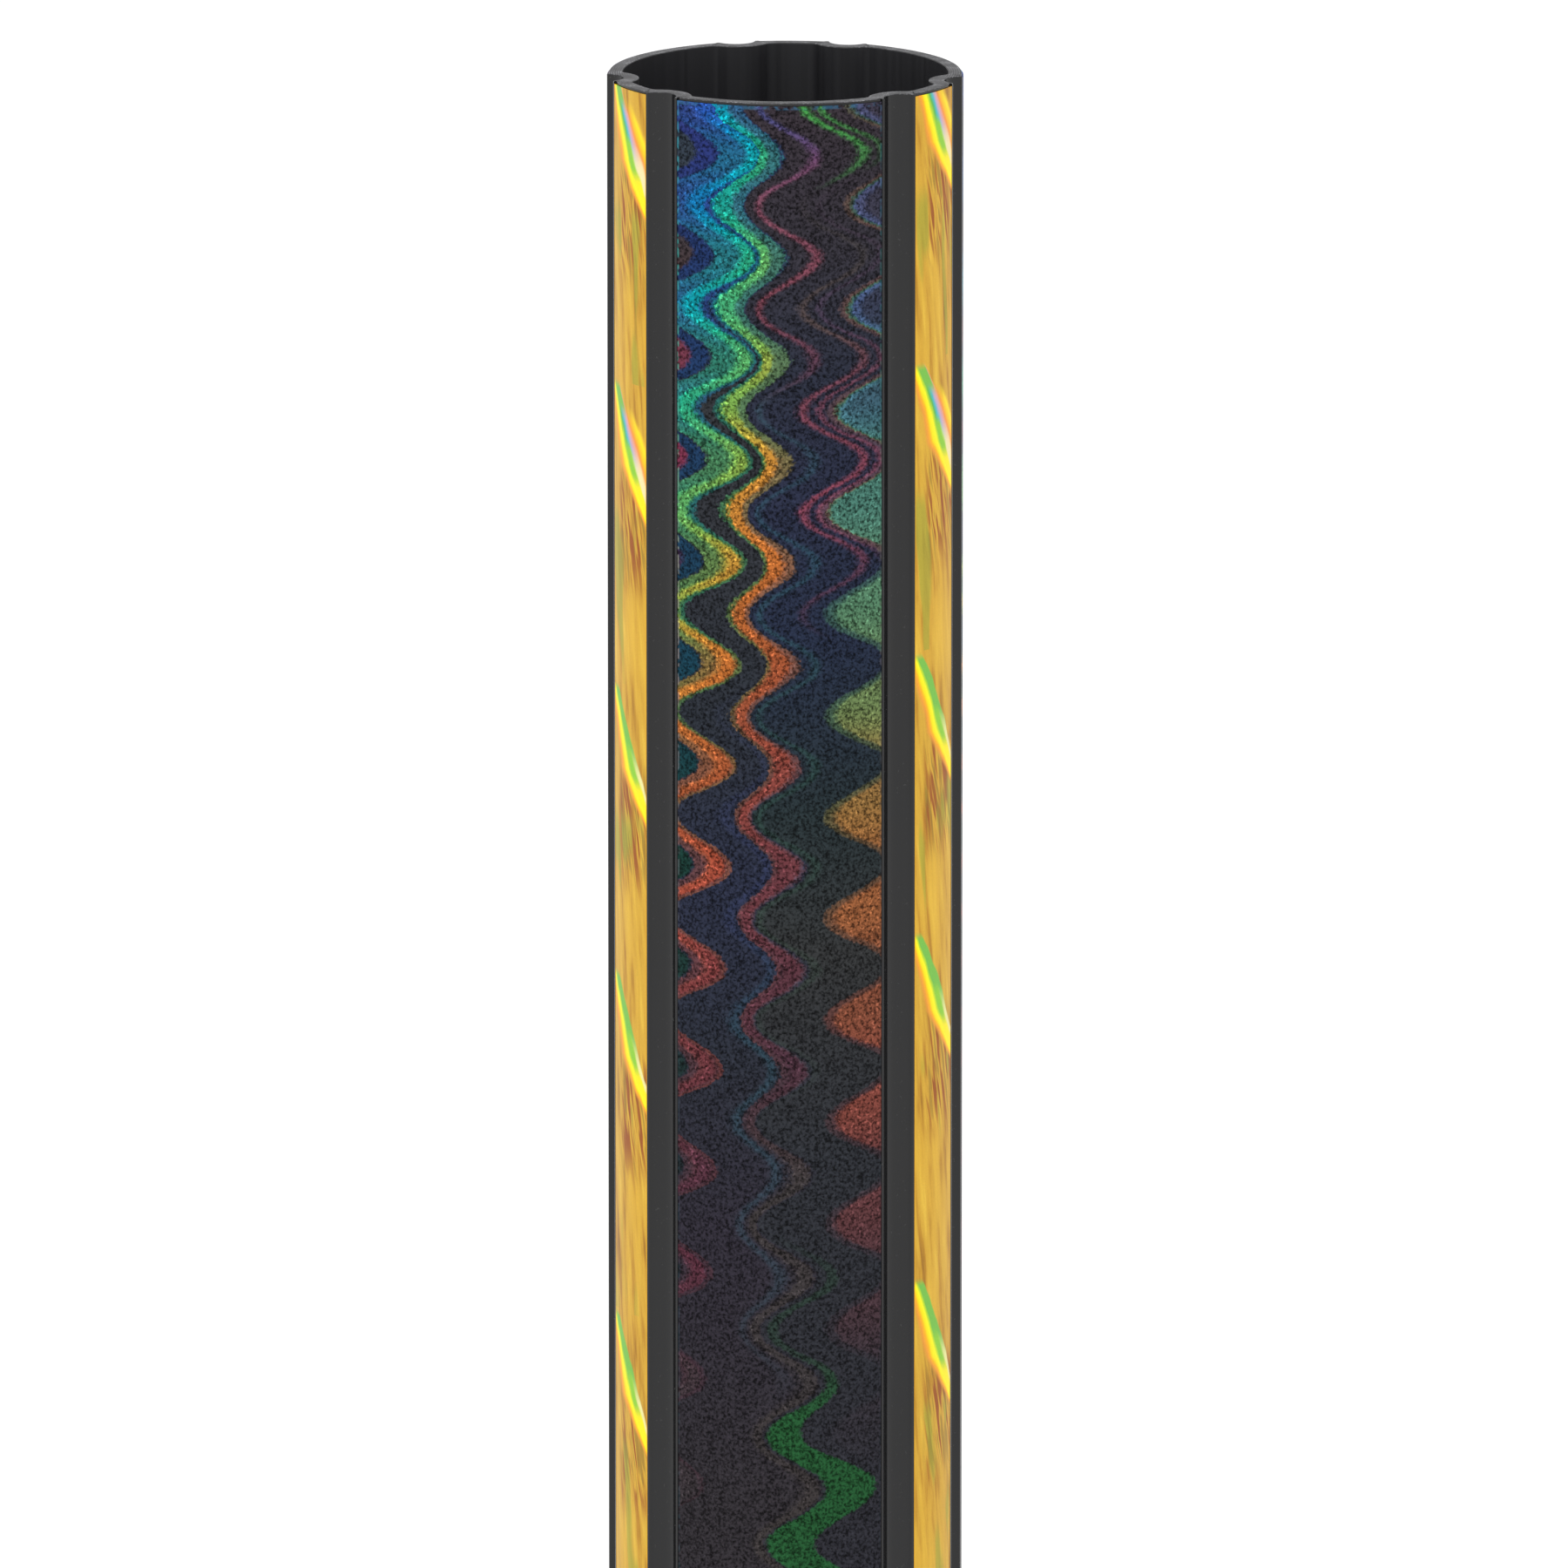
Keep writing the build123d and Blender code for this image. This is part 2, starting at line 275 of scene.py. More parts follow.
RIGHT_BASE = (
    (45, "26262c"), (95, "26282d"), (125, "2a2b2c"), (145, "20292c"), (170, "1f2638"), (190, "222638"),
    (208, "232632"), (225, "2a282f"), (245, "2e282e"),
)
# Each thin line: its place, its half width and its hues by height. Black is where it fades out.
LINES = (
    (1.2, 0.62, ((100, "000000"), (125, "0a1a10"), (155, "0a2418"), (185, "0a2a30"), (203, "102428"),
                 (208, "3a1a24"), (218, "5e242c"), (232, "602c3c"), (238, "4c2848"), (244, "283060"))),
    (7.6, 0.62, ((170, "000000"), (180, "441a1e"), (190, "6c262a"), (207, "56242a"), (214, "38281a"),
                 (224, "1c180e"), (234, "000000"), (238, "185c1a"), (246, "1e7c26"))),
    (9.9, 0.5, ((180, "000000"), (188, "58222a"), (207, "4c2028"), (215, "2a1a2a"), (236, "000000"),
                 (240, "124812"), (246, "1c7024"))),
)
BESIDE_RIDGE = (
    (60, "000000"), (78, "081e24"), (112, "0a2830"), (128, "0a1126"), (150, "0a0d22"), (165, "000000"),
)


class WaveFoil(Graph):
    """Dark diffraction foil whose swaying ribbons change hue down the tube."""

    def __init__(self, name, middle, glint_code):
        super().__init__(name)
        self.across = across_strip(self, middle)
        self.height = self.z - (heights("body_tube")[1] - PATTERN_TOP)
        self.is_upper = self.rise(self.height, 190, 215)
        self.trace_waves()
        self.place_edges()
        ribbon, glow = self.ribbons()
        colour = self.mix(glow, self.ground(), ribbon)
        self.finish(self.lines_over(colour), glow, glint_code)

    def by_height(self, stops):
        """The colour at a point's height, from stops of height in millimetres and colour code."""
        return self.ramp_over(self.height, stops, PATTERN_BOTTOM, PATTERN_TOP)

    def trace_waves(self):
        """Works out the sway, and the lane: how far across a point is once its sway is taken away."""
        low_part = self.math("MAXIMUM", STRETCH_START - self.height, 0.0)
        stretched = self.height + low_part * low_part * STRETCH
        phase = (stretched - WAVE_CREST) * (2 * math.pi / WAVE_PITCH)
        self.sway = self.math("COSINE", phase) - self.math("COSINE", phase * 3) * 0.02
        lane = self.across
        for _ in range(3):
            reach = 4.3 - self.bell(lane + 3.4, 3.2) * 1.7
            lane = self.across - reach * self.sway
        self.lane = lane + (self.noise(0.5) - 0.5) * 1.5 + (self.noise(5.0) - 0.5) * 0.9

    def edge(self, start, drift):
        """Where a ribbon's edge is at a point's height."""
        return (EDGE_LEVEL - self.height) * drift + start

    def place_edges(self):
        """Works out where each ribbon starts and ends, and the ribbons' place in the spectrum."""
        narrow = self.rise(self.height, 170, 200)
        self.gap_left = self.edge(*GAP_LEFT) + narrow * 0.8
        self.gap_right = self.edge(*GAP_RIGHT) - narrow * 0.4
        self.ridge_right = self.edge(*RIDGE_RIGHT)
        self.core_edge = self.edge(*CORE_EDGE)
        bulge = self.bell(self.height - 189, 8) * 0.9
        self.flame_edge = 10.5 - bulge + self.rise(self.height, 196, 225) * 2.6
        bluer = (1 - self.sway) * (self.is_upper * 0.026 + 0.010) - 0.008
        self.order = (HUES_START - self.height) / HUES_SPAN - bluer

    def left_ribbon(self):
        """The ribbon at the left edge: its place in the spectrum, its light and its paleness."""
        into = self.gap_left - self.lane
        width = self.gap_left - self.core_edge
        bluer = (1 - self.sway) * self.rise(self.height, 140, 175) * (1 - self.is_upper * 0.6) * 0.032
        inside = self.rise(into, 2.4, 4.6) * (0.07 - self.rise(self.height, 205, 235) * 0.03)
        order = self.order - bluer - (1 - self.rise(into, 0.3, 1.4)) * 0.12 - inside
        light = self.rise(into, -0.1, 0.35) * 0.34 + self.rise(into, 0.7, 1.5) * 0.66
        dimmer = self.rise(self.height, 162, 138) * 0.22 + 0.52
        light = light * (1 - self.rise(into, 2.9, 4.2) * dimmer)
        light = light * (1 - self.rise(into, width - 0.6, width))
        return order, light, self.rise(into, 2.4, 4.4) * 0.06

    def ridge_ribbon(self):
        """The ribbon along the middle: its place in the spectrum, its light and its paleness."""
        into = self.lane - self.gap_right
        width = self.ridge_right - self.gap_right
        order = self.order + 0.07 - (1 - self.rise(into, 0.2, 1.2)) * 0.15 - self.rise(into, 2.4, 3.4) * 0.03
        light = self.rise(into, -0.1, 0.3) * 0.34 + self.rise(into, 0.5, 1.2) * 0.66
        light = light * (1 - self.rise(into, 2.3, 3.2) * 0.58)
        light = light * (1 - self.rise(into, width - 0.5, width))
        light = light * (1 - self.rise(self.height, 172, 150) * 0.3)
        return order, light, self.rise(into, 2.3, 3.2) * 0.22

    def flames(self):
        """The flames at the right edge: their place in the spectrum, their light and paleness."""
        into = self.lane - self.flame_edge
        redder = self.rise(self.height, 178, 188) * 0.45 + self.rise(self.height, 125, 110) * 0.12 - 0.03
        order = self.order - 0.125 + (1 - self.rise(into, 0.6, 2.2)) * redder
        light = self.rise(into, -0.2, 0.6) * 0.2 + self.rise(into, 1.0, 2.4) * 0.38
        light = light * (1 - self.rise(into, 2.3, 3.6) * self.is_upper * 0.8)
        light = light * self.rise(self.height, 46, 90) * (1 - self.rise(self.height, 212, 228) * 0.2)
        return order, light, self.rise(self.height, 135, 190) * 0.33 + 0.04

    def ribbons(self):
        """The colour of the ribbons, and how much of it there is."""
        is_ridge = self.math("GREATER_THAN", self.lane, (self.gap_left + self.gap_right) * 0.5)
        is_flame = self.rise(self.lane, 4.0, 4.1)
        order, light, paler = (
            self.blend(is_flame, self.blend(is_ridge, left, ridge), flame)
            for left, ridge, flame in zip(self.left_ribbon(), self.ridge_ribbon(), self.flames())
        )
        colour = self.mix(paler, self.ramp(order, SPECTRUM), "70757a")
        is_low_ridge = is_ridge * (1 - is_flame) * self.rise(self.height, 112, 90)
        colour = self.mix(is_low_ridge, colour, "38332f")
        return colour, light * (self.rise(self.height, 50, 110) * 0.35 + 0.6)

    def ground(self):
        """The dark foil between the ribbons, with its core and heart at the left edge."""
        is_past_ridge = self.rise(self.lane - self.ridge_right, -0.3, 0.3)
        colour = self.mix(is_past_ridge, self.by_height(LEFT_BASE), self.by_height(RIGHT_BASE))
        into_core = self.core_edge - self.lane
        core = self.mix(self.rise(into_core, 2.3, 3.3), self.by_height(CORE), self.by_height(HEART))
        return self.mix(self.rise(into_core, -0.3, 0.4), colour, core)

    def lines_over(self, colour):
        """A colour with the thin lines, the glow beside the ridge and the low green band over it."""
        for centre, width, stops in LINES:
            colour = self.mix(self.bell(self.lane - centre, width), colour, self.by_height(stops), "ADD")
        beside = self.bell(self.lane - self.gap_right + 0.9, 0.7)
        colour = self.mix(beside, colour, self.by_height(BESIDE_RIDGE), "ADD")
        end = self.rise(self.height, 64, 50) * 5.2 + 3.8
        in_low = self.window(self.lane, 2.2, 2.9, end, end + 0.7)
        in_low = in_low * (self.rise(self.height, 86, 76) * 0.2 + self.rise(self.height, 68, 57) * 0.7)
        return self.mix(in_low, colour, "1c4a27")

    def finish(self, colour, glow, glint_code):
        """Adds the speckle and a dotted painted highlight along the strip's sides and top edge, and sets the
        surface.
        """
        grain = self.noise(0.44, detail=2.0, roughness=0.65)
        sparkle = self.rise(self.noise(0.5, detail=1.0), 0.60, 0.74)
        colour = self.shade(colour, self.rise(grain, 0.30, 0.66) * 1.3 + 0.2 + sparkle * (glow * 1.5 + 0.4))
        # Painted highlight: dotted glint lines, in a mix of the foil's hue and the glint colour, along both
        # side edges (stronger on the left and towards the top) and a weaker one along the top edge.
        dotted_glint = self.rise(self.noise(0.9, detail=1.0), 0.42, 0.58)
        side = self.rise(self.math("ABSOLUTE", self.across), 13.95, 14.15)
        side = side * (self.rise(self.height, 110, 190) * 0.5 + 0.1)
        side = side * (self.rise(self.across, 0.2, -0.2) + 0.3)
        top = self.rise(self.height, 245.0, 245.3) * 0.35
        edge = self.mix(0.5, self.ramp(self.order, SPECTRUM), glint_code)
        colour = self.mix(self.math("MAXIMUM", side, top) * dotted_glint, colour, edge)
        self.surface(Base_Color=colour, Roughness=0.4, Specular_IOR_Level=0.04)
        self.bump(grain, 0.006)


# ---------------------------------------------------------------- gold foil
# How far below the rim each comet starts, in millimetres.
COMETS = {
    "left": (-1.5, 42.0, 85.3, 126.5, 175.6),
    "right": (-4.5, 38.2, 79.5, 119.5, 169.4),
    "rear": (0.0, 45.2, 87.2, 129.2, 173.2),
}
COMET_LENGTH = 14.0
# A fall much longer than any comet, for points above the first one.
NO_COMET = 1000.0
# The hues across a comet, by the distance from its core line in comet widths.
COMET_HUES = (
    (-4.2, "d0a034"),
    (-3.3, "e8963a"),
    (-2.8, "f4b020"),
    (-2.4, "fce010"),
    (-1.9, "fff020"),
    (-1.5, "b8d830"),
    (-1.0, "58b050"),
    (-0.45, "50b4c4"),
    (0.15, "c4a4c0"),
    (0.6, "e0a090"),
    (1.0, "f09040"),
    (1.6, "fcc020"),
    (2.4, "ffe020"),
    (3.6, "d8a838"),
)
GOLD_HUES = ((0.25, "8c6020"), (0.38, "b88628"), (0.48, "cc9e34"), (0.60, "d4a838"), (0.76, "e4bc44"))


class GoldFoil(Graph):
    """Gold diffraction foil, with wisps along it and slanting comets of pure hues."""

    def __init__(self, name, middle, starts):
        super().__init__(name)
        self.across = across_strip(self, middle)
        self.find_comet(starts)
        colour = self.comets_over(self.drawn_gold())
        # Painted highlight: a bright yellow line along both side edges of the strip, where the film's edges
        # catch the light.
        side = self.rise(self.math("ABSOLUTE", self.across), 4.55, 4.75)
        colour = self.mix(side * 0.7, colour, "ecac00")
        grain = self.noise(0.22, detail=1.0)
        self.surface(Base_Color=self.shade(colour, grain * 0.16 + 0.92), Metallic=0.12, Roughness=0.3)
        self.surface(Specular_IOR_Level=0.15)
        self.bump(grain, 0.003)

    def find_comet(self, starts):
        """Works out a point's share of the last comet above it, and its offset from the core line."""
        self.depth = heights("body_tube")[1] - self.z
        fall = NO_COMET
        for start in starts:
            drop = self.depth - start
            fall = self.math("MINIMUM", fall, drop + self.math("LESS_THAN", drop, 0.0) * NO_COMET)
        self.share = fall / COMET_LENGTH
        core = self.math("POWER", self.share, 0.88) * 7.5 - 3.8
        taper = self.math("MAXIMUM", self.share - 0.85, 0.0) * 2.2
        width = self.math("MAXIMUM", self.share * 0.7 + 0.75 - taper, 0.4)
        self.offset = (self.across - core + (self.noise((3, 3, 9)) - 0.5) * 1.2) / width

    def leaning(self, slant, squeeze, third):
        """A vector for noise that leans by slant and is drawn out along the tube."""
        inputs = {0: self.across + self.z * slant, 1: self.z * squeeze, 2: third}
        return Field(self, self.node("ShaderNodeCombineXYZ", inputs).outputs[0])

    def drawn_gold(self):
        """Gold with fine streaks and broad patches, and with dark and green licks after a comet."""
        wisps = self.leaning(0.10, 0.085, self.noise((5, 5, 30)) * 2)
        streaks = self.noise((1.25, 1.1, 1.0), detail=3.0, vector=wisps)
        broad = self.noise((3.4, 2.4, 1.0), detail=1.5, vector=wisps)
        licks = self.noise((0.9, 0.8, 1.0), detail=2.0, vector=self.leaning(0.22, 0.075, 7.0))
        colour = self.mix(self.rise(broad, 0.5, 0.7) * 0.5, self.ramp(streaks, GOLD_HUES), "dcae38")
        after = self.window(self.share, 0.7, 1.1, 1.7, 2.3) * self.rise(self.across, -3.8, -0.8)
        colour = self.mix(after * self.rise(licks, 0.48, 0.59), colour, "985420")
        colour = self.mix(after * self.rise(licks, 0.46, 0.38) * 0.6, colour, "806428")
        greener = self.rise(broad, 0.45, 0.36) * self.rise(self.share, 1.2, 1.5) * 0.6
        return self.mix(greener, colour, "949c34")

    def comets_over(self, colour):
        """A colour with the comets over it. Those near the rim have a second flame above the core."""
        share, offset = self.share, self.offset
        near_rim = self.rise(self.depth, 85, 60)
        flame_above = near_rim * self.rise(share, 0.2, 0.5) * self.rise(offset, 3.6, 2.4)
        beyond = self.rise(offset - near_rim * 0.6, 0.1, 0.4) * (1 - flame_above)
        in_comet = self.window(share, 0.0, 0.1, 1.35, 1.7) * self.rise(offset, -4.1, -3.0) * (1 - beyond)
        comet = self.ramp_over(offset, COMET_HUES, COMET_HUES[0][0], COMET_HUES[-1][0])
        young = self.math("MAXIMUM", self.rise(share, 0.40, 0.22), 1 - near_rim)
        comet = self.mix(young * self.window(offset, -1.3, -0.9, 0.4, 0.9), comet, "76ba4c")
        ripe = self.rise(share, 0.55, 0.7) * self.window(offset, -1.5, -1.1, -0.5, -0.1)
        comet = self.mix(ripe, comet, "8cc83c")
        pale = self.rise(share, 0.6, 0.95) * self.window(offset, -0.7, -0.2, 0.6, 1.2)
        comet = self.mix(pale * 0.85, comet, "f6e8a4")
        old = self.rise(share, 0.9, 1.1) * self.window(offset, -2.1, -1.7, -0.6, 0.0)
        comet = self.mix(old, comet, "ffe81c")
        return self.mix(in_comet, colour, comet)


# ---------------------------------------------------------------- plastics, glass, metal, foam
def tube_plastic():
    """Extruded black plastic: faint die lines along the tube, a trace of dust, glossy."""
    g = Graph("tube_plastic")
    lines = g.noise((0.28, 0.28, 400.0), detail=3.0)
    specks = g.rise(g.noise(0.45, detail=1.0), 0.71, 0.78)
    colour = g.mix(lines, "0a0a0b", "101012")
    g.surface(Base_Color=g.mix(specks * 0.10, colour, "808080"))
    g.surface(Roughness=g.noise((2, 2, 30)) * 0.10 + specks * 0.25 + 0.11, IOR=1.5)
    g.bump(lines, 0.004, 0.5)
    return g.material


def bore_plastic_painted_light():
    """The tube's inner wall, as it leaves the extruder: softer in gloss, with drawn lines; its base colour is
    painted lighter than the outer plastic's to stand in for light in the bore.
    """
    g = Graph("bore_plastic_painted_light")
    lines = g.noise((0.8, 0.8, 300.0), detail=3.0)
    # Painted light: the lighter base colour and lighter lines stand in for light falling into the bore.
    g.surface(Base_Color=g.mix(lines, "1d1d1f", "2e2e31"), Roughness=lines * 0.15 + 0.26, IOR=1.5)
    g.bump(lines, 0.02, 0.6)
    return g.material


def cut_plastic():
    """The sawn and scraped end of the tube: grey, speckled and dull, with turning marks."""
    g = Graph("cut_plastic")
    radius = g.math("SQRT", g.x * g.x + g.y * g.y)
    marks = g.math("SINE", radius * 19 + g.noise(6) * 9) * 0.5 + 0.5
    specks = g.noise(0.26, detail=3.0, roughness=0.7)
    patches = g.noise((2.6, 2.6, 1.0), detail=2.0)
    tone = specks * 0.6 + marks * 0.12 + patches * 0.28
    g.surface(Base_Color=g.ramp(tone, (
        (0.34, "0a0a0c"), (0.44, "161619"), (0.51, "2c2c30"), (0.58, "5c5c60"), (0.67, "a4a4a8"),
    )))
    g.surface(Roughness=specks * 0.35 + 0.35, Specular_IOR_Level=0.35)
    g.bump(tone, 0.03)
    return g.material


def moulded_plastic(name, dark, pale, grain_size, roughness, stipple):
    """Moulded plastic with a spark-eroded grain and a little wear."""
    g = Graph(name)
    grain = g.noise(grain_size, detail=3.0, roughness=0.65)
    wear = g.rise(g.noise((6, 6, 2), detail=5.0, roughness=0.7), 0.56, 0.70)
    colour = g.mix(grain, dark, pale)
    g.surface(Base_Color=g.mix(wear * 0.25, colour, pale))
    g.surface(Roughness=grain * 0.2 + wear * 0.1 + roughness, IOR=1.49)
    g.bump(grain, stipple)
    return g.material


def grip_rubber():
    """Soft-touch ribbed rubber with a bloom in its hollows and a light shine on its ribs."""
    g = Graph("grip_rubber")
    radius = g.math("SQRT", g.x * g.x + g.y * g.y)
    crown = g.rise(radius, 28.8, 29.4)
    pores = g.noise(0.16, detail=2.0, roughness=0.7)
    bloom = g.noise((5, 5, 9), detail=4.0)
    colour = g.mix(g.rise(bloom, 0.4, 0.75) * (1 - crown) * 0.6, "121214", "2c2c30")
    g.surface(Base_Color=g.mix(pores * 0.3, colour, "202024"))
    g.surface(Roughness=0.72 - crown * 0.2 + pores * 0.12, Specular_IOR_Level=0.4)
    g.surface(Sheen_Weight=0.12, Sheen_Roughness=0.5)
    g.bump(pores, 0.02)
    return g.material


def silvered(name):
    """Front-silvered mirror: bright, with faint drag marks and dust along it."""
    g = Graph(name)
    drag = g.noise((0.5, 0.5, 60.0), detail=3.0)
    dust = g.rise(g.noise(0.6, detail=2.0), 0.70, 0.78)
    g.surface(Base_Color=g.mix(dust * 0.3, g.mix(drag, "dfe3e6", "f0f2f2"), "b8b4aa"))
    g.surface(Metallic=1.0, Roughness=drag * 0.03 + dust * 0.3 + 0.02)
    g.bump(drag, 0.002)
    return g.material


def spring_steel():
    """Blued strip steel with rolling marks along its curve."""
    g = Graph("spring_steel")
    radius = g.math("SQRT", g.x * g.x + g.y * g.y)
    marks = g.math("SINE", radius * 60 + g.noise(2) * 12) * 0.5 + 0.5
    heat = g.noise((8, 8, 2), detail=3.0)
    g.surface(Base_Color=g.mix(marks * 0.4, g.mix(heat, "70747c", "9a9690"), "b8b8b8"))
    g.surface(Metallic=1.0, Roughness=marks * 0.12 + 0.26)
    g.bump(marks, 0.006)
    return g.material


def open_foam():
    """Charcoal open-cell foam."""
    g = Graph("open_foam")
    inputs = {"Vector": g.scaled(g.place, (1.4, 1.4, 1.4)), "Scale": 1.0}
    cells = Field(g, g.node("ShaderNodeTexVoronoi", inputs).outputs["Distance"])
    g.surface(Base_Color=g.mix(g.rise(cells, 0.1, 0.6), "0c0c0d", "38383c"))
    g.surface(Roughness=0.95, Specular_IOR_Level=0.1)
    g.bump(cells, 0.4)
    return g.material


def pressed_felt():
    """Grey wool felt with matted fibres."""
    g = Graph("pressed_felt")
    fibres = g.noise((0.5, 0.5, 0.12), detail=5.0, roughness=0.75)
    tufts = g.noise(1.6, detail=3.0)
    g.surface(Base_Color=g.mix(fibres, g.mix(tufts, "3c3c40", "504e4c"), "7c7a76"))
    g.surface(Roughness=0.97, Specular_IOR_Level=0.1, Sheen_Weight=0.35, Sheen_Roughness=0.6)
    g.bump(fibres, 0.12)
    return g.material


def wrap_film():
    """Black heat-shrunk sleeve with small lengthwise creases."""
    g = Graph("wrap_film")
    creases = g.noise((1.1, 1.1, 14.0), detail=4.0, roughness=0.6)
    g.surface(Base_Color=g.mix(creases, "09090a", "1e1e22"))
    g.surface(Roughness=creases * 0.25 + 0.22)
    g.bump(creases, 0.08)
    return g.material


def clear_plate(name, tint, roughness, frost, index):
    """Clear plastic or glass, with fine scratches and dust; frost makes it a diffuser."""
    g = Graph(name)
    scratches = g.noise((0.2, 2.6, 1.0), detail=4.0, roughness=0.7)
    dust = g.rise(g.noise(0.7, detail=2.0), 0.68, 0.76)
    blasted = g.noise(0.15, detail=2.0, roughness=0.7)
    g.surface(Base_Color=g.mix(dust * 0.15, g.mix(scratches * 0.3, tint, "ffffff"), "d8d8d0"))
    g.surface(Roughness=dust * 0.2 + blasted * frost * 0.2 + roughness, IOR=index)
    g.surface(Transmission_Weight=0.96 - 0.35 * frost)
    g.bump(g.blend(frost, scratches, blasted), 0.004 + 0.03 * frost)
    return g.material


def coloured_pieces(name, codes, roughness, index, clear):
    """Glass or acrylic in several colours, one for each loose piece."""
    g = Graph(name)
    each = Field(g, g.nodes.new("ShaderNodeNewGeometry").outputs["Random Per Island"])
    colour = g.ramp(each, [(i / len(codes), code) for i, code in enumerate(codes)], "CONSTANT")
    swirl = g.noise((0.8, 0.8, 1.4), detail=3.0)
    g.surface(Base_Color=g.mix(g.rise(swirl, 0.5, 0.8) * 0.3, colour, "ffffff"))
    g.surface(Roughness=swirl * 0.05 + roughness, IOR=index, Transmission_Weight=clear)
    g.bump(swirl, 0.01)
    return g.material


TUBE = tube_plastic()
CUT = cut_plastic()
PAINTED_LIGHT_BORE = bore_plastic_painted_light()
COLLAR = moulded_plastic("collar_plastic", "0c0c0d", "1c1c1f", 0.30, 0.34, 0.010)
RING = moulded_plastic("ring_plastic", "0b0b0c", "18181b", 0.24, 0.26, 0.008)
INNER = moulded_plastic("inner_plastic", "101011", "222225", 0.35, 0.48, 0.015)


# ---------------------------------------------------------------- mesh builders
PANELS = {"front": -90.0, "rear_right": 30.0, "rear_left": 150.0}
GOLD_STRIPS = {"left": -150.0, "right": -30.0, "rear": 90.0}
TUBE_RADIUS = 25.0
TUBE_WALL = 2.2
KEY_GAP = 0.12
WIDE_HALF = 35.0
NARROW_HALF = 11.2
FLUTE_HALF = 6.9
FLUTE_RADIUS = 2.7
FLUTE_CENTRE = 25.7
POCKET_RADIUS = 24.7
LIP_RADIUS = 0.25
BORE_CORNER = 1.0
FOIL_INNER = 24.74
FOIL_OUTER = 24.96
FOIL_SIDE_GAP = 0.15
FULL_TURN = 360.0


def polar(radius, degrees):
    return Vector((radius * math.cos(math.radians(degrees)), radius * math.sin(math.radians(degrees))))


def spread(first, last, steps):
    """Evenly spaced numbers from first to last, both included."""
    return [first + (last - first) * i / steps for i in range(steps + 1)]


def rounded(corners, steps=3):
    """The closed outline through corners, each x, y and radius, with every corner rounded."""
    outline = []
    for i, (x, y, radius) in enumerate(corners):
        here = Vector((x, y))
        if not radius:
            outline.append(here)
            continue
        back = (Vector(corners[i - 1][:2]) - here).normalized()
        ahead = (Vector(corners[(i + 1) % len(corners)][:2]) - here).normalized()
        half = back.angle(ahead) / 2
        centre = here + (back + ahead).normalized() * radius / math.sin(half)
        start = here + back * radius / math.tan(half) - centre
        turn = -start.angle_signed(here + ahead * radius / math.tan(half) - centre)
        outline.extend(centre + Matrix.Rotation(angle, 2) @ start for angle in spread(0, turn, steps))
    return outline


def section(inset, corner, pocket=None):
    """Points round the tube's fluted section, moved inwards by inset: the same number for any inset."""
    outer = TUBE_RADIUS - inset
    flute = FLUTE_RADIUS + inset
    reach = outer - corner
    cosine = (FLUTE_CENTRE**2 + reach**2 - (flute + corner) ** 2) / (2 * FLUTE_CENTRE * reach)
    lip = math.degrees(math.acos(cosine))
    rise = polar(reach, lip)
    meet = math.degrees(math.atan2(rise.y, FLUTE_CENTRE - rise.x))
    half_flute = [polar(reach, -lip) + polar(corner, angle) for angle in spread(-lip, meet, 4)]
    hollow = spread(180 + meet, 180, 7)[1:]
    half_flute += [Vector((FLUTE_CENTRE, 0)) + polar(flute, angle) for angle in hollow]
    whole_flute = half_flute + [Vector((p.x, -p.y)) for p in reversed(half_flute[:-1])]
    points = []
    for middle in PANELS.values():
        strips = ((middle, WIDE_HALF, 20), (middle + 60, NARROW_HALF, 8))
        for centre, half, steps in strips:
            edge = half if pocket else min(half, half + FLUTE_HALF - lip - 0.6)
            step = 0.0 if pocket else 0.2
            points.append(polar(outer, centre - edge - step))
            points += [polar(pocket or outer, angle) for angle in spread(centre - edge, centre + edge, steps)]
            points.append(polar(outer, centre + edge + step))
            turn = Matrix.Rotation(math.radians(centre + half + FLUTE_HALF), 2)
            points += [turn @ p for p in whole_flute]
    return points


def soft_box(inner, outer, low, high, radius):
    """The outline of a box between two radii and two heights, with rounded corners."""
    return rounded([(inner, low, radius), (outer, low, radius), (outer, high, radius), (inner, high, radius)])


def circle_beside(points, radius):
    """Points on a circle, one in the direction of each given point."""
    return [p.normalized() * radius for p in points]


def at_height(points, height):
    return [Vector((p.x, p.y, height)) for p in points]


def turned(profile, start=0.0, width=FULL_TURN, steps=144):
    """Loops that sweep a profile of radius and height round the tube's axis."""
    angles = spread(start, start + width, steps)
    if width == FULL_TURN:
        angles.pop()
    return [[Vector((*polar(p.x, angle), p.y)) for p in profile] for angle in angles]


def loft(bm, loops, closed):
    """Faces between each loop and the next. A closed loft joins last to first, an open one is capped."""
    rows = [[bm.verts.new(point) for point in loop] for loop in loops]
    pairs = list(zip(rows, rows[1:])) + ([(rows[-1], rows[0])] if closed else [])
    for low, high in pairs:
        for i in range(len(low)):
            bm.faces.new((low[i - 1], low[i], high[i], high[i - 1]))
    if not closed:
        bm.faces.new(rows[0])
        bm.faces.new(rows[-1])


# Corners that are closer than this become one.
MERGE = 0.002


